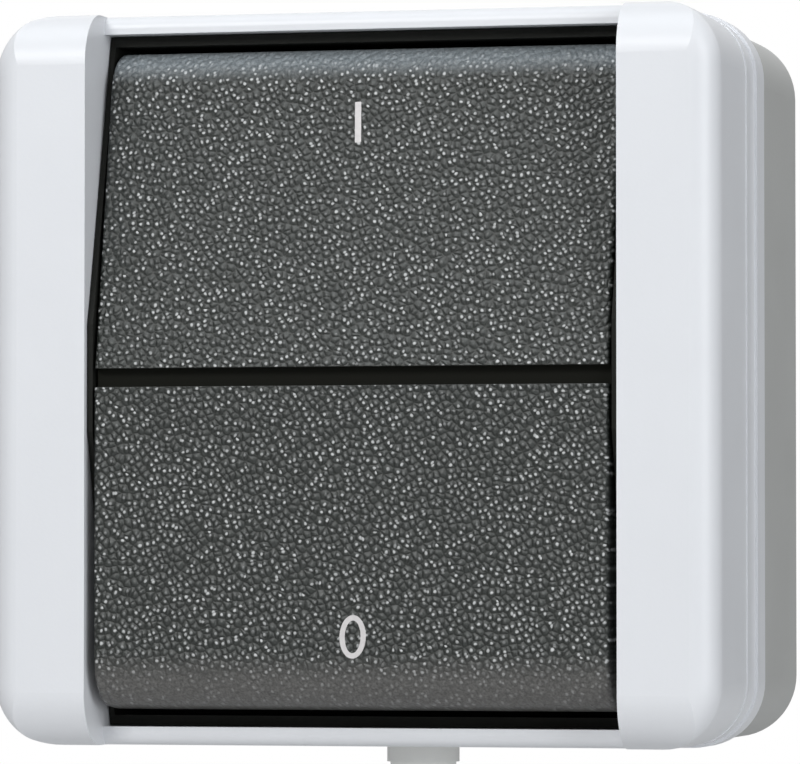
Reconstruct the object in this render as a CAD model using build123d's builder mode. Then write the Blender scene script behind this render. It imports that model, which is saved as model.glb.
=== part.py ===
# Surface-mounted splash-proof light switch with one rocker that works two poles.
# Millimetres. X to the right, Z up, the front faces -Y, and the wall is the plane Y = 0.
# The origin is the centre of the back face. A depth is a distance in front of the wall.

from math import cos, radians, sin, sqrt
import os

from build123d import *

# Wall box
box_width = 75.2
box_height = 75.2
box_depth = 23.2
box_corner = 6.7
box_wall = 2.4
box_back = 2.5
box_edge_round = 0.8
fixing_inset_x = 12.6
fixing_inset_z = 10.6
fixing_spacing_x = box_width - 2 * fixing_inset_x
fixing_spacing_z = box_height - 2 * fixing_inset_z
fixing_hole_diameter = 4.5
knockout_diameter = 16.0
knockout_recess = 0.6
knockout_depth = 13.0
groove_width = 1.1
groove_depth = 1.0
groove_inset = 0.65

# Cable entry in the bottom wall
entry_depth = 15.7
entry_hole_diameter = 5.6
seal_collar_diameter = 7.7
seal_collar_length = 2.4
seal_tip_diameter = 7.0
seal_tip_length = 2.6
seal_flange_diameter = 8.4
seal_flange_thickness = 1.2
seal_wall = 0.9

# Depths that stack up from the front edge of the box to the front of the cover
plate_step = 1.8
plate_thickness = 1.0
lid_thickness = 2.0
membrane_thickness = 0.8
frame_floor = 1.5
pivot_height = 7.7
ridge_height = 9.7
strip_height = 3.2
ridge_recess = 0.3
plate_depth = box_depth + plate_step
lid_depth = plate_depth + plate_thickness
membrane_depth = lid_depth + lid_thickness
frame_rear_depth = membrane_depth + membrane_thickness
frame_floor_depth = frame_rear_depth + frame_floor
pivot_depth = frame_floor_depth + pivot_height
rocker_ridge_depth = pivot_depth + ridge_height
strip_depth = pivot_depth + strip_height
cover_depth = rocker_ridge_depth + ridge_recess

# Cover
cover_side_lap = 0.4
cover_end_lap = 0.1
cover_width = box_width + 2 * cover_side_lap
cover_height = box_height + 2 * cover_end_lap
cover_corner = 6.5
cover_end_round = 5.5
cover_side_round = 2.9
cover_wall = 1.8
cover_fit = 0.1
rail_width = 10.2
rail_gap = cover_width - 2 * rail_width
rail_inner_wall = 1.6
rail_wall_step = 0.7
rail_wall_rear_depth = frame_floor_depth + rail_wall_step
rail_hollow_end = 3.3
strip_thickness = 1.9
strip_edge_round = 1.3
rim_height = 4.1
rim_proud = 0.3
rim_edge_round = 0.25
bead_step = 6.8
bead_depth = box_depth + bead_step
bead_height = 2.0
bead_proud = 0.12
hook_width = 10.0
hook_thickness = 1.4
hook_length = 6.0
hook_tip_depth = box_depth - hook_length
hook_nose = 0.5
hook_nose_height = 1.6
hook_lead_in = 0.8
hook_clearance = 0.2

# Rocker frame
frame_width = rail_gap - 2 * cover_fit
frame_height = cover_height - 2 * strip_thickness - 2 * cover_fit
frame_wall = 0.55
frame_end_wall = 1.05
frame_end_step = 2.2
frame_end_depth = strip_depth - frame_end_step
lug_width = 11.0
lug_recess = 0.8
lug_front_depth = cover_depth - lug_recess
shoulder_width = 17.0
shoulder_drop = 0.9
leg_width = 6.0
leg_thickness = 1.5
leg_spacing = 24.0
leg_length = 6.6
leg_nose = 0.7
leg_nose_height = 1.4
leg_clearance = 0.3
leg_inset = 0.7

# Switch insert
insert_side_gap = 1.5
insert_width = frame_width - 2 * (leg_inset + leg_thickness + insert_side_gap)
insert_height = 40.0
insert_rear_depth = 5.0
insert_wall = 1.6
insert_floor = 2.0
insert_floor_depth = insert_rear_depth + insert_floor
insert_corner = 2.0
divider_thickness = 1.6
pole_inset = 13.0
pole_spacing = insert_width - 2 * pole_inset
lid_side_margin = 2.0
lid_end_margin = 0.5
lid_width = insert_width - 2 * lid_side_margin
lid_height = insert_height - 2 * lid_end_margin
lid_boss_diameter = 5.2
lid_boss_gap = 0.4
lid_screw_diameter = 2.2
lid_screw_head_diameter = 4.4
lid_screw_head_height = 1.2
lid_screw_length = 8.0
plunger_window_width = 6.0
plunger_window_height = 10.4
terminal_access_diameter = 5.8
wire_entry_diameter = 3.8
wire_entry_rise = 6.2
wire_entry_depth = insert_rear_depth + wire_entry_rise

# Mounting plate and its two screws
plate_screw_inset = 7.6
plate_screw_spacing = box_width - 2 * plate_screw_inset
plate_side_margin = 3.5
plate_end_margin = 2.0
plate_width = plate_screw_spacing + 2 * plate_side_margin
plate_height = insert_height + 2 * plate_end_margin
plate_corner = 3.0
window_side_margin = 5.0
window_end_margin = 3.5
plate_window_width = insert_width - 2 * window_side_margin
plate_window_height = insert_height - 2 * window_end_margin
lid_screw_spacing = plate_window_height - lid_boss_diameter - 2 * lid_boss_gap
screw_boss_diameter = 6.4
screw_thread_diameter = 2.8
screw_head_diameter = 5.6
screw_head_height = 2.0
screw_length = 14.0
screw_slot_width = 0.8
screw_slot_share = 0.9
screw_hole_clearance = 0.3
screw_fit = 0.05

# Terminals
terminal_gap = 0.6
terminal_width = 7.6
terminal_length = 6.0
terminal_height = 8.2
terminal_chamfer = 0.4
terminal_spacing = insert_height - 2 * (insert_wall + terminal_gap) - terminal_length
wire_hole_diameter = 3.2
clamp_screw_diameter = 2.4
clamp_screw_head_diameter = 4.6
clamp_screw_head_height = 1.8
clamp_screw_proud = 2.0

# Contacts
running_clearance = 0.05
contact_metal = 0.8
contact_width = 6.0
contact_foot_gap = 0.6
contact_bend_reach = 2.6
contact_end_reach = 2.0
tip_diameter = 3.6
tip_thickness = 0.8
tip_gap = 0.08
lever_height = 6.0
lever_depth = insert_floor_depth + lever_height
lever_tip_inset = 4.2
lever_tip_reach = (terminal_spacing - terminal_length) / 2 - lever_tip_inset
lever_arm = lever_tip_reach + tip_diameter / 2
lever_width = 4.6
lever_front = 0.9
lever_thickness = 1.4
lever_barrel_diameter = 1.8
lever_pin_diameter = 1.4
support_ear_thickness = 0.8
support_ear_width = 4.4
support_ear_front = 1.3
support_side_gap = 0.2

# Rocker
swing = 11.0
rocker_side_gap = 0.9
rocker_end_gap = 0.6
rocker_width = rail_gap - 2 * rocker_side_gap
rocker_end_radius = frame_height / 2 - frame_end_wall - rocker_end_gap
rocker_end_round = 5.0
rocker_rear = 2.5
rocker_wall = 1.8
rocker_cheek = 0.9
rocker_skirt = 1.6
rocker_edge_round = 0.5
ridge_groove_width = 1.9
ridge_groove_depth = 1.5
ridge_rib_width = 4.2
pivot_pin_diameter = 3.0
pivot_pin_clearance = 0.1
rib_thickness = 1.0
rib_offset = 6.0
rib_spacing = pole_spacing + 2 * rib_offset
barrel_diameter = 6.4
barrel_floor_gap = 1.3
barrel_rear = pivot_height - barrel_floor_gap

# Plungers and their springs
plunger_diameter = 4.0
plunger_radius = plunger_diameter / 2 - running_clearance
plunger_end_gap = 0.25
plunger_reach = pivot_depth - lever_depth - lever_front - plunger_radius - plunger_end_gap
plunger_top = 0.5
plunger_peg_diameter = 1.6
plunger_peg_length = 1.2
spring_wire = 0.4
spring_wire_sides = 6
spring_coil_diameter = 3.2
spring_turns = 4.0
spring_end_gap = 0.1

# Splash membrane
membrane_side_margin = 0.5
membrane_end_lap = 1.0
membrane_width = insert_width - 2 * membrane_side_margin
membrane_height = insert_height + 2 * membrane_end_lap
membrane_lip_height = 0.9
membrane_lip_wall = 0.5

# Places that follow from the sizes above
half_swing = swing / 2
half_gap = rail_gap / 2
window_height = cover_height - 2 * strip_thickness
half_turn = radians(half_swing)
spring_seat = ridge_height - ridge_groove_depth - rocker_wall
poles = {"live": -pole_spacing / 2, "neutral": pole_spacing / 2}
side_view = Plane(origin=(0, 0, 0), x_dir=(0, -1, 0), z_dir=(-1, 0, 0))


def front_view(depth):
    """The plane at a depth from the wall, seen from the front."""
    return Plane.XZ.offset(depth)


def side_view_at(x):
    """The side view, moved to a place along the width."""
    return Plane(origin=(x, 0, 0), x_dir=(0, -1, 0), z_dir=(-1, 0, 0))


def rocker_point(outward, up):
    """Depth and height at rest of a point on the rocker, given from its pivot at mid travel."""
    return (
        pivot_depth + outward * cos(half_turn) - up * sin(half_turn),
        outward * sin(half_turn) + up * cos(half_turn),
    )


def along_plunger(x, outward):
    """The plane square to a plunger at rest, at a distance outward from the rocker's pivot."""
    outwards = (0, -cos(half_turn), sin(half_turn))
    return Plane(origin=(x, -pivot_depth, 0), x_dir=(1, 0, 0), z_dir=outwards).offset(outward)


def along_lever(x, outward):
    """The plane of a contact lever at rest, at a distance outward from the lever's pivot."""
    outwards = (0, -cos(half_turn), -sin(half_turn))
    return Plane(origin=(x, -lever_depth, 0), x_dir=(1, 0, 0), z_dir=outwards).offset(outward)


def arc_middle(start, end, radius):
    """Point halfway along an arc about the rocker's pivot."""
    depth = (start[0] + end[0]) / 2 - pivot_depth
    height = (start[1] + end[1]) / 2
    stretch = radius / sqrt(depth**2 + height**2)
    return (pivot_depth + depth * stretch, height * stretch)


def rocker_profile(wall, skirt, rear):
    """Outline of the rocker in side view at rest, moved inwards by its wall and skirt."""
    radius = rocker_end_radius - skirt
    lower_face = rocker_ridge_depth - wall
    reach = lower_face - pivot_depth
    slope = radians(swing)
    lower_end = (lower_face, -sqrt(radius**2 - reach**2))
    along = reach * sin(slope) + sqrt(radius**2 - (reach * cos(slope)) ** 2)
    upper_end = (lower_face - along * sin(slope), along * cos(slope))
    half_height = sqrt(radius**2 - rear**2)
    rear_top = rocker_point(-rear, half_height)
    rear_bottom = rocker_point(-rear, -half_height)
    with BuildSketch(side_view) as outline:
        with BuildLine():
            Line(rear_bottom, rear_top)
            ThreePointArc(rear_top, arc_middle(rear_top, upper_end, radius), upper_end)
            Line(upper_end, (lower_face, 0))
            Line((lower_face, 0), lower_end)
            ThreePointArc(lower_end, arc_middle(lower_end, rear_bottom, radius), rear_bottom)
        make_face()
        ends = [Vector(*upper_end), Vector(*lower_end)]
        corners = [v for v in outline.vertices() if any((v.center() - e).length < 0.01 for e in ends)]
        fillet(corners, radius=rocker_end_round - skirt)
    return outline.sketch


def save(part, name):
    """Label a finished piece and write it under the same name."""
    part.label = name
    export_step(part, f"parts/{name}.step")


os.makedirs("parts", exist_ok=True)

# Wall box with its fixing holes, screw bosses and cable entry
with BuildPart() as wall_box:
    with BuildSketch(front_view(0)):
        RectangleRounded(box_width, box_height, box_corner)
    extrude(amount=box_depth)
    fillet(wall_box.faces().sort_by(Axis.Y)[-1].edges(), radius=box_edge_round)
    with BuildSketch(front_view(box_back)):
        RectangleRounded(box_width - 2 * box_wall, box_height - 2 * box_wall, box_corner - box_wall)
    extrude(amount=box_depth, mode=Mode.SUBTRACT)
    with BuildSketch(front_view(box_depth)):
        groove_outer = 2 * groove_inset
        groove_inner = 2 * (groove_inset + groove_width)
        RectangleRounded(box_width - groove_outer, box_height - groove_outer, box_corner - groove_inset)
        RectangleRounded(
            box_width - groove_inner,
            box_height - groove_inner,
            box_corner - groove_inset - groove_width,
            mode=Mode.SUBTRACT,
        )
    extrude(amount=-groove_depth, mode=Mode.SUBTRACT)
    with BuildSketch(front_view(box_back)):
        with GridLocations(plate_screw_spacing, 0, 2, 1):
            Circle(screw_boss_diameter / 2)
    extrude(amount=plate_depth - box_back)
    with BuildSketch(front_view(plate_depth)):
        with GridLocations(plate_screw_spacing, 0, 2, 1):
            Circle(screw_thread_diameter / 2 + screw_fit)
    extrude(amount=-screw_length, mode=Mode.SUBTRACT)
    with BuildSketch(front_view(0)):
        with GridLocations(fixing_spacing_x, fixing_spacing_z, 2, 2):
            Circle(fixing_hole_diameter / 2)
    extrude(amount=box_back, mode=Mode.SUBTRACT)
    with BuildSketch(Plane.XY.offset(-box_height / 2)):
        with Locations((0, -entry_depth)):
            Circle(entry_hole_diameter / 2)
    extrude(amount=box_wall, mode=Mode.SUBTRACT)
    with BuildSketch(Plane.XY.offset(box_height / 2)):
        with Locations((0, -knockout_depth)):
            Circle(knockout_diameter / 2)
    extrude(amount=-knockout_recess, mode=Mode.SUBTRACT)
    catch_depth = hook_tip_depth + hook_lead_in
    with BuildSketch(front_view(catch_depth - hook_clearance)):
        catch_span = box_width - 2 * box_wall + 2 * hook_nose
        Rectangle(catch_span, hook_width + 2 * hook_clearance)
        Rectangle(box_width - 2 * box_wall, hook_width + 2 * hook_clearance, mode=Mode.SUBTRACT)
    extrude(amount=hook_nose_height + 2 * hook_clearance, mode=Mode.SUBTRACT)
save(wall_box.part, "wall_box")

# Rubber seal in the cable entry
with BuildPart() as entry_seal:
    wall_outside = -box_height / 2
    wall_inside = wall_outside + box_wall
    neck_radius = entry_hole_diameter / 2 - screw_fit
    collar_bottom = wall_outside - seal_collar_length
    tip_bottom = collar_bottom - seal_tip_length
    bore_radius = neck_radius - seal_wall
    seal_plane = Plane(origin=(0, -entry_depth, 0), x_dir=(1, 0, 0), z_dir=(0, -1, 0))
    with BuildSketch(seal_plane):
        with BuildLine():
            Polyline(
                (0, tip_bottom),
                (seal_tip_diameter / 2, tip_bottom),
                (seal_tip_diameter / 2, collar_bottom),
                (seal_collar_diameter / 2, collar_bottom),
                (seal_collar_diameter / 2, wall_outside),
                (neck_radius, wall_outside),
                (neck_radius, wall_inside),
                (seal_flange_diameter / 2, wall_inside),
                (bore_radius, wall_inside + seal_flange_thickness),
                (bore_radius, tip_bottom + seal_wall),
                (0, tip_bottom + seal_wall),
                close=True,
            )
        make_face()
    revolve(axis=Axis((0, -entry_depth, 0), (0, 0, 1)))
save(entry_seal.part, "entry_seal")

# Gasket in the groove round the front edge of the box
with BuildPart() as box_gasket:
    gasket_outer = 2 * (groove_inset + running_clearance)
    gasket_inner = 2 * (groove_inset + groove_width - running_clearance)
    with BuildSketch(front_view(box_depth - groove_depth)):
        RectangleRounded(box_width - gasket_outer, box_height - gasket_outer, box_corner - groove_inset)
        RectangleRounded(
            box_width - gasket_inner,
            box_height - gasket_inner,
            box_corner - groove_inset - groove_width,
            mode=Mode.SUBTRACT,
        )
    extrude(amount=groove_depth)
save(box_gasket.part, "box_gasket")

# Cover with two proud rails, its window and its snap hooks
with BuildPart() as cover:
    with BuildSketch(front_view(box_depth)):
        RectangleRounded(cover_width, cover_height, cover_corner)
    extrude(amount=cover_depth - box_depth)
    fillet(cover.faces().sort_by(Axis.Y)[0].edges(), radius=cover_side_round)
    with BuildSketch(side_view) as end_profile:
        with Locations(((box_depth + cover_depth) / 2, 0)):
            Rectangle(cover_depth - box_depth, cover_height)
        fillet(end_profile.vertices().group_by(Axis.X)[-1], radius=cover_end_round)
    extrude(amount=cover_width, both=True, mode=Mode.INTERSECT)
    with BuildSketch(front_view(strip_depth)):
        Rectangle(rail_gap, cover_height + 2 * cover_wall)
    extrude(amount=cover_depth, mode=Mode.SUBTRACT)
    with BuildSketch(front_view(box_depth)):
        rim_width = cover_width + 2 * rim_proud
        rim_height_across = cover_height + 2 * rim_proud
        RectangleRounded(rim_width, rim_height_across, cover_corner + rim_proud)
    extrude(amount=rim_height)
    with BuildSketch(front_view(bead_depth)):
        bead = 2 * bead_proud
        RectangleRounded(cover_width + bead, cover_height + bead, cover_corner + bead_proud)
    extrude(amount=bead_height)
    inside_width = cover_width - 2 * cover_wall
    with BuildSketch(front_view(box_depth)):
        RectangleRounded(inside_width, window_height, cover_corner - cover_wall)
    extrude(amount=rail_wall_rear_depth - box_depth, mode=Mode.SUBTRACT)
    with BuildSketch(front_view(rail_wall_rear_depth)):
        Rectangle(rail_gap, window_height)
    extrude(amount=cover_depth, mode=Mode.SUBTRACT)
    hollow_inner = half_gap + rail_inner_wall
    hollow_outer = inside_width / 2
    rail_hollows = [
        (cover_depth - cover_end_round, window_height, hollow_outer),
        (cover_depth - cover_wall, window_height - 2 * rail_hollow_end, hollow_outer - cover_wall / 2),
    ]
    for hollow_front, hollow_height, outer in rail_hollows:
        with BuildSketch(front_view(rail_wall_rear_depth)):
            RectangleRounded(2 * outer, hollow_height, cover_corner - cover_wall)
            Rectangle(2 * hollow_inner, hollow_height, mode=Mode.SUBTRACT)
        extrude(amount=hollow_front - rail_wall_rear_depth, mode=Mode.SUBTRACT)
    strips = cover.faces().filter_by(Plane.XZ).sort_by(Axis.Y)
    strips = [f for f in strips if abs(f.center().Z) > window_height / 2 and f.center().Y > -cover_depth]
    strips = sorted(strips, key=lambda f: f.center().Y)[:2]
    outer_edges = [f.edges().filter_by(Axis.X).sort_by(lambda e: abs(e.center().Z))[-1] for f in strips]
    fillet(outer_edges, radius=strip_edge_round)
    with BuildSketch(Plane.XY.offset(-hook_width / 2)):
        hook_outer = box_width / 2 - box_wall - hook_clearance
        hook_inner = hook_outer - hook_thickness
        nose_front = catch_depth + hook_nose_height
        root_depth = box_depth + rim_edge_round
        with BuildLine():
            Polyline(
                (hook_inner, -rail_wall_rear_depth),
                (hollow_outer + cover_wall / 2, -rail_wall_rear_depth),
                (hollow_outer + cover_wall / 2, -root_depth),
                (hook_outer, -root_depth),
                (hook_outer, -nose_front),
                (hook_outer + hook_nose, -nose_front),
                (hook_outer, -hook_tip_depth),
                (hook_inner, -hook_tip_depth),
                close=True,
            )
        make_face()
        mirror(about=Plane.YZ)
    extrude(amount=hook_width)
save(cover.part, "cover")

# Frame that carries the rocker between two lugs
with BuildPart() as rocker_frame:
    with BuildSketch(side_view):
        with BuildLine():
            Polyline(
                (frame_rear_depth, -frame_height / 2),
                (frame_end_depth, -frame_height / 2),
                (lug_front_depth - shoulder_drop, -shoulder_width / 2),
                (lug_front_depth, -lug_width / 2),
                (lug_front_depth, lug_width / 2),
                (lug_front_depth - shoulder_drop, shoulder_width / 2),
                (frame_end_depth, frame_height / 2),
                (frame_rear_depth, frame_height / 2),
                close=True,
            )
        make_face()
    extrude(amount=frame_width / 2, both=True)
    inner_width = frame_width - 2 * frame_wall
    with BuildSketch(front_view(frame_floor_depth)):
        Rectangle(inner_width, frame_height - 2 * frame_end_wall)
    extrude(amount=cover_depth, mode=Mode.SUBTRACT)
    with BuildSketch(front_view(frame_rear_depth)):
        with GridLocations(pole_spacing, 0, 2, 1):
            Rectangle(plunger_window_width, plunger_window_height)
    extrude(amount=frame_floor, mode=Mode.SUBTRACT)
    with BuildSketch(side_view):
        with Locations((pivot_depth, 0)):
            Circle(pivot_pin_diameter / 2 + running_clearance)
    extrude(amount=frame_width, both=True, mode=Mode.SUBTRACT)
    for leg_middle in (-leg_spacing / 2, leg_spacing / 2):
        with BuildSketch(Plane.XY.offset(leg_middle - leg_width / 2)):
            leg_outer = frame_width / 2 - leg_inset
            leg_inner = leg_outer - leg_thickness
            leg_tip = frame_rear_depth - leg_length
            nose_front = plate_depth - running_clearance
            with BuildLine():
                Polyline(
                    (leg_inner, -frame_floor_depth),
                    (leg_outer, -frame_floor_depth),
                    (leg_outer, -nose_front),
                    (leg_outer + leg_nose, -nose_front),
                    (leg_outer + leg_nose, -nose_front + leg_nose_height / 2),
                    (leg_outer, -leg_tip),
                    (leg_inner, -leg_tip),
                    close=True,
                )
            make_face()
            mirror(about=Plane.YZ)
        extrude(amount=leg_width)
save(rocker_frame.part, "rocker_frame")

# Rocker shell with its pivot pins, ribs and plunger barrels
rocker_outline = rocker_profile(0, 0, rocker_rear)
rocker_hollow = rocker_profile(rocker_wall, rocker_skirt, rocker_rear + rocker_wall)
rocker_rib = rocker_profile(rocker_wall / 2, rocker_skirt / 2, 0)
with BuildPart() as rocker:
    extrude(rocker_outline, amount=rocker_width / 2, both=True)
    side_edges = rocker.faces().filter_by(Axis.X).edges()
    fillet([e for e in side_edges if -e.center().Y > pivot_depth + rocker_rear], radius=rocker_edge_round)
    inner_half = rocker_width / 2 - rocker_cheek
    extrude(rocker_hollow, amount=inner_half, both=True, mode=Mode.SUBTRACT)
    for rib_middle in (-rib_spacing / 2, rib_spacing / 2):
        with Locations((rib_middle, 0, 0)):
            add(extrude(rocker_rib, amount=rib_thickness / 2, both=True, mode=Mode.PRIVATE))
    rib_rear_depth = rocker_ridge_depth - ridge_groove_depth - rocker_wall
    with BuildSketch(side_view):
        with Locations(((rib_rear_depth + rocker_ridge_depth - rocker_wall / 2) / 2, 0)):
            Rectangle(ridge_groove_depth + rocker_wall / 2, ridge_rib_width)
    extrude(amount=inner_half, both=True)
    with BuildSketch(side_view):
        with Locations((rocker_ridge_depth, 0)):
            Rectangle(2 * ridge_groove_depth, ridge_groove_width)
    extrude(amount=rocker_width, both=True, mode=Mode.SUBTRACT)
    pin_length = frame_width / 2 - pivot_pin_clearance - inner_half
    for side in (-1, 1):
        with BuildSketch(Plane(origin=(side * inner_half, 0, 0), x_dir=(0, -1, 0), z_dir=(-1, 0, 0))):
            with Locations((pivot_depth, 0)):
                Circle(pivot_pin_diameter / 2)
        extrude(amount=-side * pin_length)
    for pole_x in poles.values():
        with BuildSketch(along_plunger(pole_x, -barrel_rear)):
            Circle(barrel_diameter / 2)
        extrude(amount=barrel_rear + spring_seat + rocker_wall / 2)
        with BuildSketch(along_plunger(pole_x, -barrel_rear)):
            Circle(plunger_diameter / 2)
        extrude(amount=barrel_rear + spring_seat, mode=Mode.SUBTRACT)
save(rocker.part, "rocker")

# Rubber membrane between the insert and the rocker frame
with BuildPart() as splash_membrane:
    lip_width = plunger_window_width - 2 * cover_fit
    lip_height = plunger_window_height - 2 * cover_fit
    with BuildSketch(front_view(membrane_depth)):
        RectangleRounded(membrane_width, membrane_height, insert_corner)
    extrude(amount=membrane_thickness)
    with BuildSketch(front_view(membrane_depth)):
        with GridLocations(pole_spacing, 0, 2, 1):
            Rectangle(lip_width, lip_height)
    extrude(amount=membrane_thickness + membrane_lip_height)
    with BuildSketch(front_view(membrane_depth)):
        with GridLocations(pole_spacing, 0, 2, 1):
            Rectangle(lip_width - 2 * membrane_lip_wall, lip_height - 2 * membrane_lip_wall)
    extrude(amount=membrane_thickness + membrane_lip_height, mode=Mode.SUBTRACT)
save(splash_membrane.part, "splash_membrane")

# Steel plate that carries the insert and holds the frame's legs
with BuildPart() as mounting_plate:
    with BuildSketch(front_view(plate_depth)):
        RectangleRounded(plate_width, plate_height, plate_corner)
        Rectangle(plate_window_width, plate_window_height, mode=Mode.SUBTRACT)
        with GridLocations(plate_screw_spacing, 0, 2, 1):
            Circle(screw_thread_diameter / 2 + screw_hole_clearance, mode=Mode.SUBTRACT)
        slot_spacing = frame_width - 2 * leg_inset - leg_thickness
        with GridLocations(slot_spacing, leg_spacing, 2, 2):
            slot_width = leg_thickness + 2 * leg_clearance
            Rectangle(slot_width, leg_width + 2 * leg_clearance, mode=Mode.SUBTRACT)
    extrude(amount=plate_thickness)
save(mounting_plate.part, "mounting_plate")

# Moulded base of the switch insert, with a divider between the poles
with BuildPart() as insert_base:
    with BuildSketch(front_view(insert_rear_depth)):
        RectangleRounded(insert_width, insert_height, insert_corner)
    extrude(amount=plate_depth - insert_rear_depth)
    with BuildSketch(front_view(insert_floor_depth)):
        Rectangle(insert_width - 2 * insert_wall, insert_height - 2 * insert_wall)
    extrude(amount=plate_depth, mode=Mode.SUBTRACT)
    with BuildSketch(front_view(insert_floor_depth)):
        Rectangle(divider_thickness, insert_height - insert_wall)
    extrude(amount=plate_depth - insert_floor_depth)
    with BuildSketch(front_view(insert_floor_depth)):
        with GridLocations(0, lid_screw_spacing, 1, 2):
            Circle(lid_boss_diameter / 2)
    extrude(amount=lid_depth - insert_floor_depth)
    with BuildSketch(front_view(lid_depth)):
        with GridLocations(0, lid_screw_spacing, 1, 2):
            Circle(lid_screw_diameter / 2 + screw_fit)
    extrude(amount=-lid_screw_length, mode=Mode.SUBTRACT)
    with BuildSketch(Plane.XY):
        with Locations(*[(x, -wire_entry_depth) for x in poles.values()]):
            Circle(wire_entry_diameter / 2)
    extrude(amount=insert_height, both=True, mode=Mode.SUBTRACT)
save(insert_base.part, "insert_base")

# Lid of the switch insert
with BuildPart() as insert_lid:
    with BuildSketch(front_view(lid_depth)):
        RectangleRounded(lid_width, lid_height, insert_corner)
        with GridLocations(pole_spacing, 0, 2, 1):
            Rectangle(plunger_window_width, plunger_window_height, mode=Mode.SUBTRACT)
        with GridLocations(pole_spacing, terminal_spacing, 2, 2):
            Circle(terminal_access_diameter / 2, mode=Mode.SUBTRACT)
        with GridLocations(0, lid_screw_spacing, 1, 2):
            Circle(lid_screw_diameter / 2 + screw_hole_clearance, mode=Mode.SUBTRACT)
    extrude(amount=lid_thickness)
    with BuildSketch(front_view(membrane_depth)):
        with GridLocations(0, lid_screw_spacing, 1, 2):
            Circle(lid_screw_head_diameter / 2 + screw_hole_clearance)
    extrude(amount=-lid_screw_head_height - cover_fit, mode=Mode.SUBTRACT)
save(insert_lid.part, "insert_lid")


def slotted_screws(places, seat_depth, length, shank_diameter, head_diameter, head_height):
    """Slotted screws at some places, with their heads seated at a depth from the wall."""
    with BuildPart() as screws:
        with BuildSketch(front_view(seat_depth - length)):
            with Locations(*places):
                Circle(shank_diameter / 2)
        extrude(amount=length)
        with BuildSketch(front_view(seat_depth)):
            with Locations(*places):
                Circle(head_diameter / 2)
        extrude(amount=head_height)
        with BuildSketch(front_view(seat_depth + head_height)):
            with Locations(*places):
                Rectangle(head_diameter + screw_slot_width, screw_slot_width)
        extrude(amount=-screw_slot_share * head_height, mode=Mode.SUBTRACT)
    return screws.part


def grid_places(spacing_x, spacing_z):
    """Places on a centred grid of one or two by two."""
    across = sorted({-spacing_x / 2, spacing_x / 2})
    return [(x, z) for x in across for z in (-spacing_z / 2, spacing_z / 2)]


plate_screw_places = [(-plate_screw_spacing / 2, 0), (plate_screw_spacing / 2, 0)]
plate_screws = slotted_screws(
    plate_screw_places,
    lid_depth,
    screw_length,
    screw_thread_diameter,
    screw_head_diameter,
    screw_head_height,
)
save(plate_screws, "plate_screws")

lid_screws = slotted_screws(
    grid_places(0, lid_screw_spacing),
    membrane_depth - lid_screw_head_height - cover_fit,
    lid_screw_length - cover_fit,
    lid_screw_diameter,
    lid_screw_head_diameter,
    lid_screw_head_height,
)
save(lid_screws, "lid_screws")

terminal_rear = insert_floor_depth + contact_metal
terminal_front = terminal_rear + terminal_height
clamp_screws = slotted_screws(
    grid_places(pole_spacing, terminal_spacing),
    terminal_front + clamp_screw_proud,
    clamp_screw_proud + terminal_front - wire_entry_depth - wire_hole_diameter / 4,
    clamp_screw_diameter,
    clamp_screw_head_diameter,
    clamp_screw_head_height,
)
save(clamp_screws, "clamp_screws")

# Contact parts of each pole: terminals, fixed contact, lever and its support, plunger, spring
tip_seat = lever_thickness - lever_front
fixed_tip_front = (
    lever_depth
    - (tip_seat + tip_thickness) * cos(half_turn)
    - (lever_tip_reach + tip_diameter / 2) * sin(half_turn)
    - tip_gap
)
fixed_strip_front = fixed_tip_front - tip_thickness
fixed_tip_height = -lever_tip_reach * cos(half_turn) + (tip_seat + tip_thickness) * sin(half_turn)
terminal_inner = terminal_spacing / 2 - terminal_length / 2
terminal_outer = terminal_spacing / 2 + terminal_length / 2
ear_inner = lever_width / 2 + support_side_gap
ear_outer = ear_inner + support_ear_thickness

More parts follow.
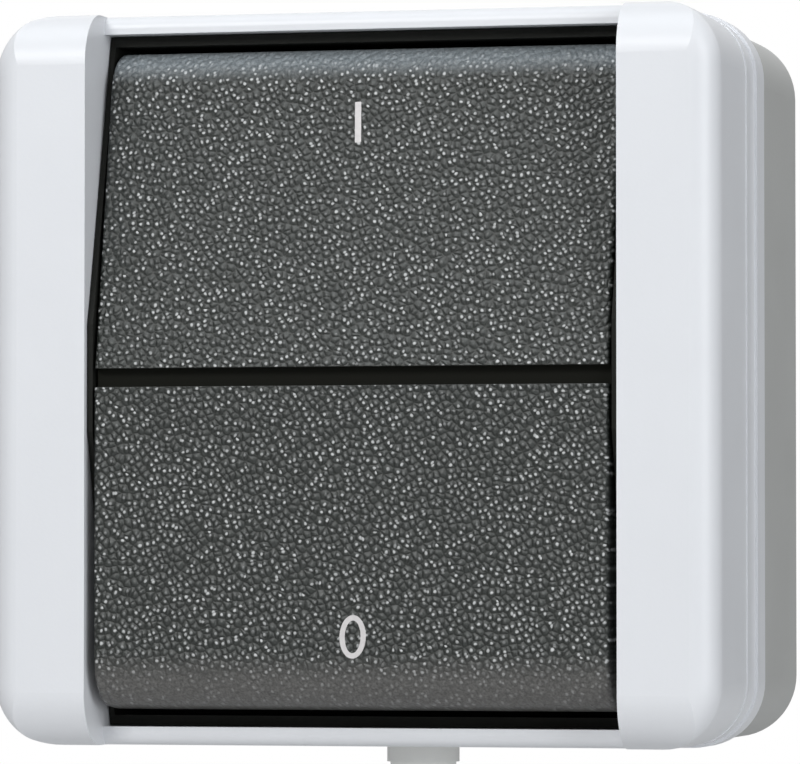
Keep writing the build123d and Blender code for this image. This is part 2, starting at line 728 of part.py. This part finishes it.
for pole, pole_x in poles.items():
    for end, height in {"in": terminal_spacing / 2, "out": -terminal_spacing / 2}.items():
        with BuildPart() as terminal:
            with BuildSketch(front_view(terminal_rear)):
                with Locations((pole_x, height)):
                    Rectangle(terminal_width, terminal_length)
            extrude(amount=terminal_height)
            chamfer(terminal.faces().sort_by(Axis.Y)[0].edges(), length=terminal_chamfer)
            with BuildSketch(Plane.XY.offset(height)):
                with Locations((pole_x, -wire_entry_depth)):
                    Circle(wire_hole_diameter / 2)
            extrude(amount=terminal_length, both=True, mode=Mode.SUBTRACT)
            with BuildSketch(front_view(terminal_front)):
                with Locations((pole_x, height)):
                    Circle(clamp_screw_diameter / 2 + screw_fit)
            extrude(amount=wire_entry_depth - terminal_front, mode=Mode.SUBTRACT)
        save(terminal.part, f"{pole}_{end}_terminal")

    with BuildPart() as lever_support:
        with BuildSketch(front_view(insert_floor_depth)):
            support_height = terminal_outer + support_ear_width / 2
            with Locations((pole_x, terminal_outer - support_height / 2)):
                Rectangle(2 * ear_outer, support_height)
        extrude(amount=contact_metal)
        with BuildSketch(front_view(insert_floor_depth)):
            with Locations((pole_x - ear_outer + support_ear_thickness / 2, 0)):
                Rectangle(support_ear_thickness, support_ear_width)
            with Locations((pole_x + ear_outer - support_ear_thickness / 2, 0)):
                Rectangle(support_ear_thickness, support_ear_width)
        extrude(amount=lever_depth + support_ear_front - insert_floor_depth)
        with BuildSketch(side_view_at(pole_x)):
            with Locations((lever_depth, 0)):
                Circle(lever_pin_diameter / 2 + running_clearance)
        extrude(amount=2 * ear_outer, both=True, mode=Mode.SUBTRACT)
    save(lever_support.part, f"{pole}_lever_support")

    with BuildPart() as fixed_contact:
        with BuildSketch(side_view_at(pole_x)):
            foot_end = -terminal_inner + contact_foot_gap
            with BuildLine():
                Polyline(
                    (insert_floor_depth, -terminal_outer),
                    (insert_floor_depth, foot_end),
                    (fixed_strip_front - contact_metal, -lever_tip_reach - contact_bend_reach),
                    (fixed_strip_front - contact_metal, -lever_tip_reach + contact_end_reach),
                    (fixed_strip_front, -lever_tip_reach + contact_end_reach),
                    (fixed_strip_front, -lever_tip_reach - contact_bend_reach - contact_foot_gap),
                    (insert_floor_depth + contact_metal, foot_end - contact_foot_gap),
                    (insert_floor_depth + contact_metal, -terminal_outer),
                    close=True,
                )
            make_face()
        extrude(amount=contact_width / 2, both=True)
    save(fixed_contact.part, f"{pole}_fixed_contact")

    with BuildPart() as fixed_tip:
        with BuildSketch(front_view(fixed_strip_front)):
            with Locations((pole_x, fixed_tip_height)):
                Circle(tip_diameter / 2)
        extrude(amount=tip_thickness)
    save(fixed_tip.part, f"{pole}_fixed_tip")

    with BuildPart() as contact_lever:
        with BuildSketch(along_lever(pole_x, lever_front)):
            RectangleRounded(lever_width, 2 * lever_arm, lever_width / 4)
        extrude(amount=-lever_thickness)
        with BuildSketch(side_view_at(pole_x)):
            with Locations((lever_depth, 0)):
                Circle(lever_barrel_diameter / 2)
        extrude(amount=lever_width / 2, both=True)
        with BuildSketch(side_view_at(pole_x)):
            with Locations((lever_depth, 0)):
                Circle(lever_pin_diameter / 2)
        extrude(amount=ear_outer, both=True)
    save(contact_lever.part, f"{pole}_contact_lever")

    with BuildPart() as moving_tip:
        with BuildSketch(along_lever(pole_x, -tip_seat)):
            with Locations((0, -lever_tip_reach)):
                Circle(tip_diameter / 2)
        extrude(amount=-tip_thickness)
    save(moving_tip.part, f"{pole}_moving_tip")

    with BuildPart() as plunger:
        with BuildSketch(along_plunger(pole_x, -plunger_reach)):
            Circle(plunger_radius)
        extrude(amount=plunger_reach + plunger_top)
        with Locations(along_plunger(pole_x, -plunger_reach)):
            Sphere(plunger_radius)
        with BuildSketch(along_plunger(pole_x, plunger_top)):
            Circle(plunger_peg_diameter / 2)
        extrude(amount=plunger_peg_length)
    save(plunger.part, f"{pole}_plunger")

    with BuildPart() as spring:
        coil_radius = (spring_coil_diameter - spring_wire) / 2
        coil_start = plunger_top + spring_end_gap + spring_wire / 2
        coil_height = spring_seat - spring_end_gap - spring_wire / 2 - coil_start
        coil_foot = along_plunger(pole_x, coil_start)
        with BuildLine():
            coil = Helix(
                coil_height / spring_turns,
                coil_height,
                coil_radius,
                center=coil_foot.origin,
                direction=coil_foot.z_dir,
            )
        with BuildSketch(Plane(origin=coil @ 0, z_dir=coil % 0)):
            RegularPolygon(spring_wire / 2, spring_wire_sides)
        sweep(path=coil, is_frenet=True)
    save(spring.part, f"{pole}_spring")
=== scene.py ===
import math
import bpy
from mathutils import Matrix, Vector


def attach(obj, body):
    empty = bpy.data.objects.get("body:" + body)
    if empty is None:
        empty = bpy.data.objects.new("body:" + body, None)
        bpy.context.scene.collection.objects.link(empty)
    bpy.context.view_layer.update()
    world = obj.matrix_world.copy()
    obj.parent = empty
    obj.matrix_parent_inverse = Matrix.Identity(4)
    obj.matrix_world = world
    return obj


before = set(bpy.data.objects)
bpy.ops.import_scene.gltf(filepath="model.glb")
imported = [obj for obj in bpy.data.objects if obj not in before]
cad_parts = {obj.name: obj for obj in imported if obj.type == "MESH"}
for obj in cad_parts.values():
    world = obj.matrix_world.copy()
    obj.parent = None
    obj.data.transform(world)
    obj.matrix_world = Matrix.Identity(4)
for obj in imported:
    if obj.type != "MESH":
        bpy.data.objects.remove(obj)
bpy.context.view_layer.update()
print("frame loaded")

mm = 0.001
noiseMiddle = 0.5
scene = bpy.context.scene
scene.view_settings.view_transform = "Standard"


# one socket of a material, so that shader maths is written as arithmetic
class Wire:
    def __init__(self, tree, socket=None):
        self.tree = tree
        self.socket = socket

    def node(self, kind, settings, sockets, out=0):
        made = self.tree.nodes.new(kind)
        for name, value in settings.items():
            setattr(made, name, value)
        for name, value in sockets.items():
            if isinstance(value, Wire):
                self.tree.links.new(value.socket, made.inputs[name])
            else:
                made.inputs[name].default_value = value
        return Wire(self.tree, made.outputs[out] if made.outputs else None)

    def math(self, operation, first, second=0.0):
        return self.node("ShaderNodeMath", {"operation": operation}, {0: first, 1: second})

    def vectorMath(self, operation, sockets):
        return self.node("ShaderNodeVectorMath", {"operation": operation}, {0: self, **sockets})

    def axis(self, name):
        return self.node("ShaderNodeSeparateXYZ", {}, {"Vector": self}, name)

    def __add__(self, other):
        return self.math("ADD", self, other)

    def __radd__(self, other):
        return self.math("ADD", other, self)

    def __sub__(self, other):
        return self.math("SUBTRACT", self, other)

    def __rsub__(self, other):
        return self.math("SUBTRACT", other, self)

    def __mul__(self, other):
        return self.math("MULTIPLY", self, other)


def newMaterial(name):
    material = bpy.data.materials.new(name)
    material.use_nodes = True
    material.node_tree.nodes.clear()
    shade = Wire(material.node_tree)
    return material, shade, shade.node("ShaderNodeTexCoord", {}, {}, "Object")


def noise(shade, place, size, detail=3.0, out="Fac"):
    settings = {"noise_dimensions": "3D"}
    sockets = {"Vector": place, "Scale": 1 / size, "Detail": detail}
    return shade.node("ShaderNodeTexNoise", settings, sockets, out)


def smoothStep(shade, value, low, high):
    settings = {"interpolation_type": "SMOOTHSTEP"}
    sockets = {"Value": value, "From Min": low, "From Max": high, "To Min": 0.0, "To Max": 1.0}
    return shade.node("ShaderNodeMapRange", settings, sockets, "Result")


def mixColor(shade, factor, first, second):
    sockets = {0: factor, 6: (*first, 1.0) if isinstance(first, tuple) else first}
    sockets[7] = (*second, 1.0) if isinstance(second, tuple) else second
    return shade.node("ShaderNodeMix", {"data_type": "RGBA"}, sockets, 2)


def bump(shade, height, depth):
    sockets = {"Height": height, "Strength": 1.0, "Distance": depth}
    return shade.node("ShaderNodeBump", {}, sockets, "Normal")


def finishMaterial(shade, color, roughness, normal, constants):
    sockets = {"Base Color": color, "Roughness": roughness, "Normal": normal}
    sockets.update(constants)
    surface = shade.node("ShaderNodeBsdfPrincipled", {}, sockets, "BSDF")
    shade.node("ShaderNodeOutputMaterial", {}, {"Surface": surface})


# smooth moulded plastic or rubber: faint flow clouds, fine spark-eroded texture, soft gloss changes
def mouldedMaterial(name, look):
    material, shade, place = newMaterial(name)
    clouds = noise(shade, place, look["cloudSize"])
    texture = noise(shade, place, look["textureSize"], detail=2.0)
    color = mixColor(shade, clouds, look["darkColor"], look["lightColor"])
    roughness = look["roughness"] + (clouds - noiseMiddle) * look["roughnessChange"]
    normal = bump(shade, texture, look["textureDepth"])
    finishMaterial(shade, color, roughness, normal, {"IOR": look["ior"]})
    return material


coverLook = {
    "darkColor": (0.700, 0.715, 0.745),
    "lightColor": (0.735, 0.750, 0.780),
    "cloudSize": 14 * mm,
    "textureSize": 0.35 * mm,
    "textureDepth": 0.006 * mm,
    "roughness": 0.36,
    "roughnessChange": 0.06,
    "ior": 1.46,
}
boxLook = {
    "darkColor": (0.395, 0.400, 0.392),
    "lightColor": (0.430, 0.436, 0.428),
    "cloudSize": 11 * mm,
    "textureSize": 0.5 * mm,
    "textureDepth": 0.02 * mm,
    "roughness": 0.50,
    "roughnessChange": 0.08,
    "ior": 1.46,
}
# dark frame plastic made near black, darker than the plastic itself, as painted shade in the gaps around
# the rocker
frameGapShadeLook = {
    "darkColor": (0.0090, 0.0095, 0.0080),
    "lightColor": (0.0130, 0.0135, 0.0120),
    "cloudSize": 6 * mm,
    "textureSize": 0.4 * mm,
    "textureDepth": 0.02 * mm,
    "roughness": 0.70,
    "roughnessChange": 0.08,
    "ior": 1.25,
}
insertLook = {
    "darkColor": (0.66, 0.62, 0.52),
    "lightColor": (0.72, 0.68, 0.58),
    "cloudSize": 9 * mm,
    "textureSize": 0.5 * mm,
    "textureDepth": 0.02 * mm,
    "roughness": 0.5,
    "roughnessChange": 0.08,
    "ior": 1.46,
}
nylonLook = {
    "darkColor": (0.58, 0.56, 0.50),
    "lightColor": (0.64, 0.62, 0.56),
    "cloudSize": 4 * mm,
    "textureSize": 0.4 * mm,
    "textureDepth": 0.01 * mm,
    "roughness": 0.4,
    "roughnessChange": 0.05,
    "ior": 1.5,
}
paleRubberLook = {
    "darkColor": (0.84, 0.845, 0.83),
    "lightColor": (0.87, 0.875, 0.86),
    "cloudSize": 3 * mm,
    "textureSize": 0.25 * mm,
    "textureDepth": 0.015 * mm,
    "roughness": 0.55,
    "roughnessChange": 0.1,
    "ior": 1.45,
}
blackRubberLook = {
    "darkColor": (0.020, 0.020, 0.020),
    "lightColor": (0.030, 0.030, 0.030),
    "cloudSize": 5 * mm,
    "textureSize": 0.25 * mm,
    "textureDepth": 0.015 * mm,
    "roughness": 0.65,
    "roughnessChange": 0.1,
    "ior": 1.5,
}


# metal with fine drawn or tumbled marks
def metalMaterial(name, look):
    material, shade, place = newMaterial(name)
    sockets = {"Vector": place, "Scale": look["markStretch"]}
    stretched = shade.node("ShaderNodeMapping", {}, sockets, "Vector")
    marks = noise(shade, stretched, look["markSize"], detail=4.0)
    tarnish = noise(shade, place, look["tarnishSize"])
    color = mixColor(shade, tarnish, look["darkColor"], look["lightColor"])
    roughness = look["roughness"] + (marks - noiseMiddle) * look["roughnessChange"]
    normal = bump(shade, marks, look["markDepth"])
    finishMaterial(shade, color, roughness, normal, {"Metallic": 1.0})
    return material


brassLook = {
    "darkColor": (0.62, 0.44, 0.18),
    "lightColor": (0.78, 0.60, 0.30),
    "markStretch": (1.0, 1.0, 0.2),
    "markSize": 0.3 * mm,
    "markDepth": 0.005 * mm,
    "tarnishSize": 4 * mm,
    "roughness": 0.32,
    "roughnessChange": 0.2,
}
zincLook = dict(brassLook, darkColor=(0.52, 0.53, 0.55), lightColor=(0.66, 0.66, 0.64), roughness=0.35)
springLook = dict(brassLook, darkColor=(0.42, 0.42, 0.42), lightColor=(0.55, 0.55, 0.55), roughness=0.28)
silverLook = dict(brassLook, darkColor=(0.74, 0.74, 0.73), lightColor=(0.86, 0.86, 0.85), roughness=0.3)


# dark grey rocker plastic: pebbles with painted near-black shade in the creases between them and painted
# pale glints on the tops of some, softer and with a painted lighter sheen on the rounded ends, with no
# grain and a painted dark shade in the groove
rockerLook = {
    # painted shade: near black in the creases between the pebbles
    "paintedCreaseShadeColor": (0.004, 0.006, 0.004),
    "slopeColor": (0.044, 0.049, 0.046),
    # painted highlight: pale glint colour on the tops of some pebbles
    "paintedGlintColor": (0.500, 0.510, 0.510),
    # painted sheen on the rounded ends: bluish light at the top end, a lighter grey at the bottom end
    "paintedTopSheenColor": (0.250, 0.285, 0.305),
    "paintedTopSheenLightColor": (0.390, 0.435, 0.465),
    "paintedBottomSheenColor": (0.092, 0.089, 0.085),
    "paintedBottomSheenLightColor": (0.165, 0.161, 0.155),
    "mottleShare": 0.5,
    "creaseMottle": 0.3,
    "speckleRange": (0.3, 0.7),
    # painted shade: the groove's colour near black
    "paintedGrooveShadeColor": (0.0100, 0.0105, 0.0080),
    "paintedGrooveShadeLightColor": (0.0130, 0.0135, 0.0110),
    "grooveRoughness": 0.8,
    "grooveIor": 1.18,
    "grooveEdge": (0.92 * mm, 1.02 * mm),
    "pebbleSize": 0.69 * mm,
    "pebbleBlend": 0.10,
    "pebbleChance": 0.92,
    "pebbleTurn": 33.0,
    "pebbleWarp": 0.32 * mm,
    "warpSize": 0.8 * mm,
    "pebbleFoot": 0.82,
    "pebbleDepth": 0.16 * mm,
    "domeShare": 0.80,
    "plateShare": 0.28,
    "creaseRange": (0.0, 0.32),
    # where on a pebble's dome the painted glint sits
    "paintedGlintRange": (0.70, 0.98),
    "patchSize": 1.6 * mm,
    "patchRange": (0.24, 0.52),
    "glintRange": (0.1, 0.9),
    "fineSize": 0.22 * mm,
    "fineDepth": 0.10,
    "topRound": (30.4 * mm, 33.6 * mm),
    "bottomRound": (-31.6 * mm, -27.6 * mm),
    "topShare": 0.10,
    "bottomShare": 0.30,
    # how much of the painted sheen covers each rounded end
    "paintedTopSheenShare": 0.75,
    "paintedBottomSheenShare": 0.74,
    "roughness": 0.38,
    "roughnessValley": 0.08,
    "ior": 1.5,
}


# the plane that the pebbles lie in: x and z of the surface, bent a little and turned
def pebblePlane(shade, place, look):
    warp = noise(shade, place, look["warpSize"], detail=1.0, out="Color")
    centred = warp.vectorMath("SUBTRACT", {1: (noiseMiddle, noiseMiddle, noiseMiddle)})
    moved = centred.vectorMath("SCALE", {"Scale": look["pebbleWarp"]})
    bent = place.vectorMath("ADD", {1: moved})
    across = bent.axis("X")
    up = bent.axis("Z")
    turnCos = math.cos(math.radians(look["pebbleTurn"]))
    turnSin = math.sin(math.radians(look["pebbleTurn"]))
    turned = {"X": across * turnCos + up * turnSin, "Y": up * turnCos - across * turnSin}
    return shade.node("ShaderNodeCombineXYZ", {}, turned, "Vector")


def pebbleCells(shade, plane, look, feature, extras, out):
    settings = {"feature": feature, "voronoi_dimensions": "2D"}
    sockets = {"Vector": plane, "Scale": 1 / look["pebbleSize"], "Randomness": look["pebbleChance"]}
    sockets.update(extras)
    return shade.node("ShaderNodeTexVoronoi", settings, sockets, out)


# each pebble's dome, its flat plate inside the creases, which ones may get a painted glint, and the fine
# grit
def pebblePattern(shade, place, look):
    plane = pebblePlane(shade, place, look)
    blend = {"Smoothness": look["pebbleBlend"]}
    centre = pebbleCells(shade, plane, look, "SMOOTH_F1", blend, "Distance")
    chance = pebbleCells(shade, plane, look, "SMOOTH_F1", blend, "Color")
    crease = pebbleCells(shade, plane, look, "DISTANCE_TO_EDGE", {}, "Distance")
    patches = noise(shade, place, look["patchSize"], detail=1.0)
    return {
        "dome": 1.0 - smoothStep(shade, centre, 0.0, look["pebbleFoot"]),
        "plate": smoothStep(shade, crease, *look["creaseRange"]),
        "patch": smoothStep(shade, patches, *look["patchRange"]),
        "glint": smoothStep(shade, chance.axis("X"), *look["glintRange"]),
        "fine": noise(shade, place, look["fineSize"], detail=2.0),
    }


def rockerZones(shade, place, look):
    height = place.axis("Z")
    onTop = smoothStep(shade, height, *look["topRound"])
    onBottom = 1.0 - smoothStep(shade, height, *look["bottomRound"])
    offGroove = smoothStep(shade, height.math("ABSOLUTE", height), *look["grooveEdge"])
    return onTop, onBottom, offGroove


def rockerColor(shade, look, pattern, zones):
    onTop, onBottom, offGroove = zones
    plate = pattern["plate"]
    # painted glints: a pale colour on the tops of some pebbles, in patches, none in the groove
    paintedGlint = smoothStep(shade, pattern["dome"], *look["paintedGlintRange"])
    paintedGlint = paintedGlint * pattern["patch"] * pattern["glint"] * offGroove
    speckle = smoothStep(shade, pattern["fine"], *look["speckleRange"])
    mottle = speckle * look["mottleShare"]
    mottleSpread = look["creaseMottle"] + plate * (1.0 - look["creaseMottle"])
    flankShare = plate * (1.0 - look["mottleShare"]) + mottle * mottleSpread
    # painted shade: the creases between the pebbles near black
    flankAndCreaseShade = mixColor(shade, flankShare, look["paintedCreaseShadeColor"], look["slopeColor"])
    grainShadeAndGlints = mixColor(shade, paintedGlint, flankAndCreaseShade, look["paintedGlintColor"])
    # painted sheen on the rounded ends, bluish at the top end and lighter grey at the bottom end,
    # mottled by the grit
    paintedTopSheen = mixColor(shade, speckle, look["paintedTopSheenColor"], look["paintedTopSheenLightColor"])
    withTopSheen = mixColor(shade, onTop * look["paintedTopSheenShare"], grainShadeAndGlints, paintedTopSheen)
    paintedBottomSheen = mixColor(shade, speckle, look["paintedBottomSheenColor"], look["paintedBottomSheenLightColor"])
    return mixColor(shade, onBottom * look["paintedBottomSheenShare"], withTopSheen, paintedBottomSheen)


def rockerMaterial(name, look):
    material, shade, place = newMaterial(name)
    pattern = pebblePattern(shade, place, look)
    zones = rockerZones(shade, place, look)
    onTop, onBottom, offGroove = zones
    grain = (1.0 - onTop * look["topShare"] - onBottom * look["bottomShare"]) * offGroove
    pebble = pattern["dome"] * grain
    plateRelief = pattern["plate"] * look["plateShare"] + pattern["fine"] * look["fineDepth"]
    relief = pebble * look["domeShare"] + plateRelief * grain
    grainSockets = {
        "Base Color": rockerColor(shade, look, pattern, zones),
        "Roughness": look["roughness"] + (1.0 - pebble) * look["roughnessValley"],
        "Normal": bump(shade, relief, look["pebbleDepth"]),
        "IOR": look["ior"],
    }
    # the groove: no grain, and a painted dark shade for its colour
    grooveSockets = {
        "Base Color": mixColor(shade, pattern["fine"], look["paintedGrooveShadeColor"], look["paintedGrooveShadeLightColor"]),
        "Roughness": look["grooveRoughness"],
        "IOR": look["grooveIor"],
    }
    grainSurface = shade.node("ShaderNodeBsdfPrincipled", {}, grainSockets, "BSDF")
    grooveSurface = shade.node("ShaderNodeBsdfPrincipled", {}, grooveSockets, "BSDF")
    mixSockets = {0: offGroove, 1: grooveSurface, 2: grainSurface}
    surface = shade.node("ShaderNodeMixShader", {}, mixSockets, "Shader")
    shade.node("ShaderNodeOutputMaterial", {}, {"Surface": surface})
    return material


materials = {
    "cover": mouldedMaterial("coverPlastic", coverLook),
    "box": mouldedMaterial("boxPlastic", boxLook),
    "frame": mouldedMaterial("framePlasticGapShade", frameGapShadeLook),
    "insert": mouldedMaterial("insertPlastic", insertLook),
    "nylon": mouldedMaterial("plungerNylon", nylonLook),
    "seal": mouldedMaterial("sealRubber", paleRubberLook),
    "gasket": mouldedMaterial("gasketRubber", blackRubberLook),
    "brass": metalMaterial("stampedBrass", brassLook),
    "zinc": metalMaterial("zincPlate", zincLook),
    "spring": metalMaterial("springWire", springLook),
    "silver": metalMaterial("contactSilver", silverLook),
    "rocker": rockerMaterial("grainedPlastic", rockerLook),
}
print("materials made")

# which finish each CAD node gets, by its name or the end of its name
nodeFinish = {
    "wall_box": "box",
    "entry_seal": "seal",
    "box_gasket": "gasket",
    "cover": "cover",
    "rocker_frame": "frame",
    "rocker": "rocker",
    "splash_membrane": "gasket",
    "mounting_plate": "zinc",
    "insert_base": "insert",
    "insert_lid": "insert",
    "screws": "zinc",
    "terminal": "brass",
    "support": "brass",
    "contact": "brass",
    "lever": "brass",
    "tip": "silver",
    "plunger": "nylon",
    "spring": "spring",
}
for nodeName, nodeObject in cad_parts.items():
    finish = nodeFinish.get(nodeName) or nodeFinish[nodeName.rsplit("_", 1)[-1]]
    for materialSlot in nodeObject.material_slots:
        materialSlot.material = materials[finish]
print("nodes finished")


def finishPiece(piece, name, material, body):
    piece.name = name
    piece.data.name = name
    piece.data.materials.clear()
    piece.data.materials.append(material)
    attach(piece, body)


# printed marks on the two halves of the rocker
markLook = {
    "barWidth": 0.65 * mm,
    "barHeight": 4.3 * mm,
    "barPlace": (-0.25 * mm, 26.1 * mm),
    "barLean": -2.5,
    "barRound": 0.12,
    "barRoundSteps": 3,
    "zeroWidth": 2.75 * mm,
    "zeroHeight": 4.4 * mm,
    "zeroStroke": 0.55 * mm,
    "zeroPlace": (0.5 * mm, -26.4 * mm),
    "zeroLean": 2.0,
    "zeroSides": 64,
    "thickness": 0.02 * mm,
    "ridgeDepth": 47.7 * mm,
    "upperTilt": 11.0,
    "darkColor": (0.52, 0.50, 0.50),
    "lightColor": (0.68, 0.66, 0.66),
}
inkLook = dict(
    coverLook,
    darkColor=markLook["darkColor"],
    lightColor=markLook["lightColor"],
    cloudSize=0.5 * mm,
    roughness=0.5,
)
markInk = mouldedMaterial("markInk", inkLook)


# stands a flat mark up on one half of the rocker, whose face slopes away from the ridge by the tilt
def placeOnFace(piece, across, up, tilt):
    angle = math.radians(tilt)
    foot = Vector((across, -markLook["ridgeDepth"], 0.0))
    along = Vector((0.0, -math.sin(angle), math.cos(angle)))
    place = foot + along * (up / math.cos(angle))
    turn = Matrix.Rotation(angle, 4, "X") @ Matrix.Rotation(math.radians(90), 4, "X")
    piece.data.transform(Matrix.Translation(place) @ turn)


def lean(piece, degrees):
    piece.data.transform(Matrix.Rotation(math.radians(-degrees), 4, "Z"))


def thicken(piece):
    layer = piece.modifiers.new("thickness", "SOLIDIFY")
    layer.thickness = markLook["thickness"]
    layer.offset = 1.0
    bpy.context.view_layer.objects.active = piece
    bpy.ops.object.modifier_apply(modifier="thickness")


def markOne():
    bpy.ops.object.select_all(action="DESELECT")
    bpy.ops.mesh.primitive_plane_add(size=1.0)
    piece = bpy.context.object
    roundness = markLook["barWidth"] * markLook["barRound"]
    bpy.ops.object.mode_set(mode="EDIT")
    bpy.ops.transform.resize(value=(markLook["barWidth"], markLook["barHeight"], 1.0))
    bpy.ops.mesh.bevel(offset=roundness, segments=markLook["barRoundSteps"], affect="VERTICES")
    bpy.ops.object.mode_set(mode="OBJECT")
    lean(piece, markLook["barLean"])
    thicken(piece)
    placeOnFace(piece, *markLook["barPlace"], -markLook["upperTilt"])
    finishPiece(piece, "mark_on", markInk, "rocker")


def markZero():
    bpy.ops.object.select_all(action="DESELECT")
    bpy.ops.mesh.primitive_circle_add(vertices=markLook["zeroSides"], radius=0.5)
    piece = bpy.context.object
    width, height = markLook["zeroWidth"], markLook["zeroHeight"]
    bothStrokes = 2 * markLook["zeroStroke"]
    inner = ((width - bothStrokes) / width, (height - bothStrokes) / height, 1.0)
    bpy.ops.object.mode_set(mode="EDIT")
    bpy.ops.transform.resize(value=(width, height, 1.0))
    bpy.ops.mesh.extrude_edges_move()
    bpy.ops.transform.resize(value=inner)
    bpy.ops.mesh.select_all(action="SELECT")
    bpy.ops.mesh.normals_make_consistent(inside=False)
    bpy.ops.object.mode_set(mode="OBJECT")
    if piece.data.polygons[0].normal.z < 0:
        piece.data.flip_normals()
    lean(piece, markLook["zeroLean"])
    thicken(piece)
    placeOnFace(piece, *markLook["zeroPlace"], 0.0)
    finishPiece(piece, "mark_off", markInk, "rocker")


markOne()
markZero()
print("marks printed")

# the camera, where the photograph was taken from
cameraLook = {
    "place": (0.14501, -0.60604, -0.0191),
    "back": (0.24240, -0.96965, -0.031995),
    "focalPixels": 5702.94,
    "photoPixels": 800,
    "sensor": 36.0,
}
camera = bpy.data.objects.new("camera", bpy.data.cameras.new("camera"))
scene.collection.objects.link(camera)
camera.data.sensor_width = cameraLook["sensor"]
camera.data.lens = cameraLook["focalPixels"] * cameraLook["sensor"] / cameraLook["photoPixels"]
camera.location = cameraLook["place"]
camera.rotation_euler = (-Vector(cameraLook["back"])).to_track_quat("-Z", "Y").to_euler()
scene.camera = camera

# pale floor that the camera sees as near white, with the switch's shadow kept
floorLook = {
    "height": -120 * mm,
    "size": 3.0,
    "cloudSize": 0.3,
    "color": (0.74, 0.74, 0.74),
    "lightColor": (0.78, 0.78, 0.78),
    "whiteShare": 0.92,
}
white = (1, 1, 1, 1)
bpy.ops.object.select_all(action="DESELECT")
bpy.ops.mesh.primitive_plane_add(size=floorLook["size"], location=(0, 0, floorLook["height"]))
floor = bpy.context.object
floor.name = "floor"
floorMaterial, floorShade, floorPlace = newMaterial("paleFloor")
floorCloud = noise(floorShade, floorPlace, floorLook["cloudSize"])
floorColor = mixColor(floorShade, floorCloud, floorLook["color"], floorLook["lightColor"])
matt = floorShade.node("ShaderNodeBsdfDiffuse", {}, {"Color": floorColor}, "BSDF")
glow = floorShade.node("ShaderNodeEmission", {}, {"Color": white, "Strength": 1.0}, "Emission")
seen = floorShade.node("ShaderNodeLightPath", {}, {}, "Is Camera Ray") * floorLook["whiteShare"]
floorMix = floorShade.node("ShaderNodeMixShader", {}, {0: seen, 1: matt, 2: glow}, "Shader")
floorShade.node("ShaderNodeOutputMaterial", {}, {"Surface": floorMix})
floor.data.materials.append(floorMaterial)

# soft studio light: brighter in front than behind, and reflections brighter from above than from below
ambient = {
    "front": 0.33,
    "back": 0.20,
    "turn": 0.35,
    "glossLow": 0.06,
    "glossHigh": 1.60,
    "glossRise": (0.05, 0.55),
    "seen": 1.0,
}
world = bpy.data.worlds.new("studio")
scene.world = world
world.use_nodes = True
world.node_tree.nodes.clear()
sky = Wire(world.node_tree)
cameraPaths = sky.node("ShaderNodeLightPath", {}, {}, "Is Camera Ray")
glossPaths = sky.node("ShaderNodeLightPath", {}, {}, "Is Glossy Ray")
facing = sky.node("ShaderNodeTexCoord", {}, {}, "Generated")
towardFront = facing.axis("Y") * -1.0
frontShare = smoothStep(sky, towardFront, -ambient["turn"], ambient["turn"])
highShare = smoothStep(sky, facing.axis("Z"), *ambient["glossRise"])
soft = ambient["back"] + frontShare * (ambient["front"] - ambient["back"])
gloss = ambient["glossLow"] + highShare * (ambient["glossHigh"] - ambient["glossLow"])
lit = soft + glossPaths * (gloss - soft)
strength = lit + cameraPaths * (ambient["seen"] - lit)
backdrop = sky.node("ShaderNodeBackground", {}, {"Color": white, "Strength": strength}, "Background")
sky.node("ShaderNodeOutputWorld", {}, {"Surface": backdrop})


def softLamp(name, look):
    lamp = bpy.data.objects.new(name, bpy.data.lights.new(name, "AREA"))
    scene.collection.objects.link(lamp)
    lamp.data.shape = "RECTANGLE"
    lamp.data.size, lamp.data.size_y = look["size"]
    lamp.data.energy = look["power"]
    lamp.data.color = look["color"]
    lamp.location = look["place"]
    toward = Vector(look["aim"]) - Vector(look["place"])
    lamp.rotation_euler = toward.to_track_quat("-Z", "Y").to_euler()


keyLook = {
    "place": (-0.30, -0.98, 0.48),
    "aim": (0, -0.03, 0),
    "size": (0.34, 0.30),
    "power": 4.7,
    "color": (1.0, 1.0, 1.0),
}
topLook = {
    "place": (-0.1, -0.25, 0.8),
    "aim": (0, -0.03, 0),
    "size": (0.7, 0.5),
    "power": 2.4,
    "color": (0.93, 0.97, 1.0),
}
fillLook = {
    "place": (0.8, -0.5, 0.2),
    "aim": (0, -0.03, 0),
    "size": (0.5, 0.5),
    "power": 3.3,
    "color": (0.96, 0.98, 1.0),
}
softLamp("keyLamp", keyLook)
softLamp("topLamp", topLook)
softLamp("fillLamp", fillLook)
print("stage set")
